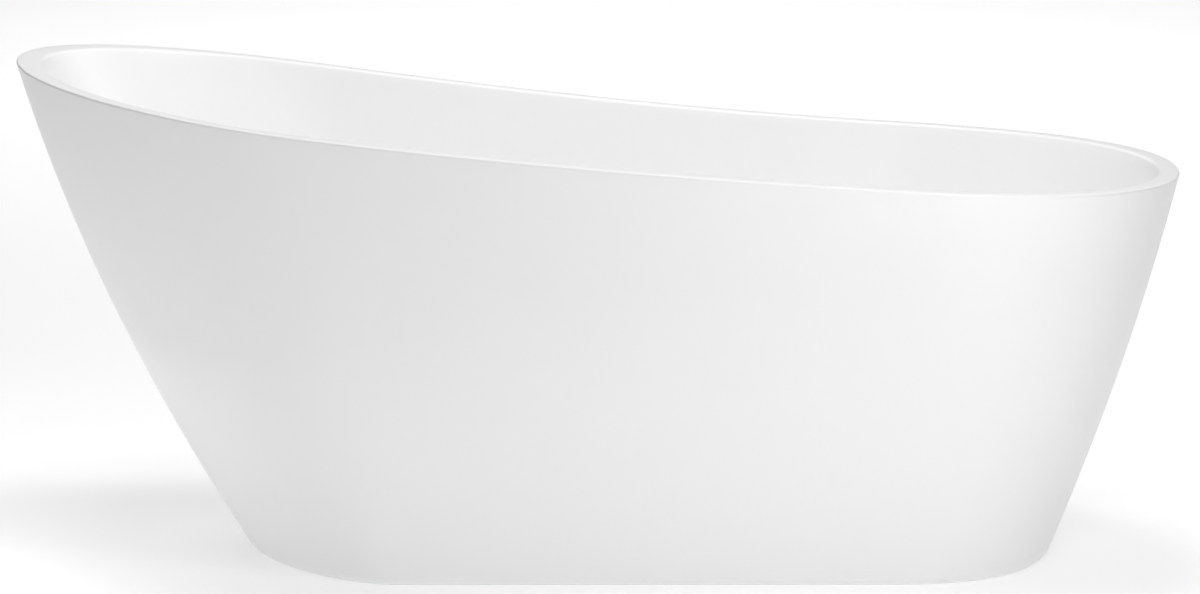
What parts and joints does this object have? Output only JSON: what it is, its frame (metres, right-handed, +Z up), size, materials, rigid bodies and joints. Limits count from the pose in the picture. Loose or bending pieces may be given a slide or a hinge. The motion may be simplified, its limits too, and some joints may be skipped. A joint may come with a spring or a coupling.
{
  "type": "freestanding bathtub",
  "caption": "Freestanding slipper bathtub with a high sloping head end, a sweeping rim with a narrow flat lip and a double-walled skirt that tapers to the floor.",
  "frame": {"origin": "on the floor, under the middle of the tub's length and width", "axes": "+X from the high head end to the low foot end, +Z up, +Y across; the tub is symmetric about Y = 0"},
  "size_m": [1.6996, 0.8071, 0.7399],
  "materials": {
    "basin_acrylic": "gloss",
    "skirt_acrylic": "gloss",
    "glass_fibre": "rough, chopped strand",
    "adhesive": "satin",
    "board": "chipboard, resin coated",
    "frame_steel": "galvanised",
    "zinc_screws": "zinc plated",
    "zinc_plate": "zinc plated",
    "black_plastic": "moulded",
    "chrome": "polished",
    "chromed_pipe": "polished",
    "brass": "turned",
    "gasket_rubber": "matt",
    "grey_plastic": "moulded",
    "pipe_plastic": "extruded"
  },
  "bodies": {
    "tub": {"basin_shell": "basin_acrylic", "skirt_shell": "skirt_acrylic", "basin_backing": "glass_fibre", "rim_bond": "adhesive", "base_board": "board", "frame_rail_left": "frame_steel", "frame_rail_right": "frame_steel", "crossbar_head": "frame_steel", "crossbar_middle": "frame_steel", "crossbar_foot": "frame_steel", "rail_end_caps": "black_plastic", "board_screws": "zinc_screws", "bracket_screws": "zinc_screws", "weld_nuts": "frame_steel", "lock_nuts": "zinc_screws", "skirt_brackets": "zinc_plate", "waste_flange": "chrome", "waste_gasket_upper": "gasket_rubber", "waste_gasket_lower": "gasket_rubber", "waste_body": "grey_plastic", "tail_pipe": "chromed_pipe", "tail_nut": "grey_plastic", "stopper_cartridge": "black_plastic", "overflow_cover": "chrome", "overflow_screw": "chrome", "overflow_gasket": "gasket_rubber", "overflow_elbow": "grey_plastic", "overflow_pipe": "pipe_plastic", "pipe_nut_upper": "grey_plastic", "pipe_nut_lower": "grey_plastic"},
    "stopper": {"stopper_cap": "chrome", "stopper_seal": "gasket_rubber", "stopper_stem": "brass"},
    "foot_head_left": {"foot_pad_head_left": "black_plastic", "foot_stem_head_left": "zinc_screws"},
    "foot_head_right": {"foot_pad_head_right": "black_plastic", "foot_stem_head_right": "zinc_screws"},
    "foot_middle": {"foot_pad_middle": "black_plastic", "foot_stem_middle": "zinc_screws"},
    "foot_foot_left": {"foot_pad_foot_left": "black_plastic", "foot_stem_foot_left": "zinc_screws"},
    "foot_foot_right": {"foot_pad_foot_right": "black_plastic", "foot_stem_foot_right": "zinc_screws"}
  },
  "joints": [
    {"name": "stopper_lift", "type": "slide", "parent": "tub", "child": "stopper", "axis": [0, 0, 1], "range_m": [0, 0.01]},
    {"name": "foot_head_left_screw", "type": "slide", "parent": "tub", "child": "foot_head_left", "axis": [0, 0, -1], "range_m": [-0.008, 0.02]},
    {"name": "foot_head_right_screw", "type": "slide", "parent": "tub", "child": "foot_head_right", "axis": [0, 0, -1], "range_m": [-0.008, 0.02]},
    {"name": "foot_middle_screw", "type": "slide", "parent": "tub", "child": "foot_middle", "axis": [0, 0, -1], "range_m": [-0.008, 0.02]},
    {"name": "foot_foot_left_screw", "type": "slide", "parent": "tub", "child": "foot_foot_left", "axis": [0, 0, -1], "range_m": [-0.008, 0.02]},
    {"name": "foot_foot_right_screw", "type": "slide", "parent": "tub", "child": "foot_foot_right", "axis": [0, 0, -1], "range_m": [-0.008, 0.02]}
  ]
}
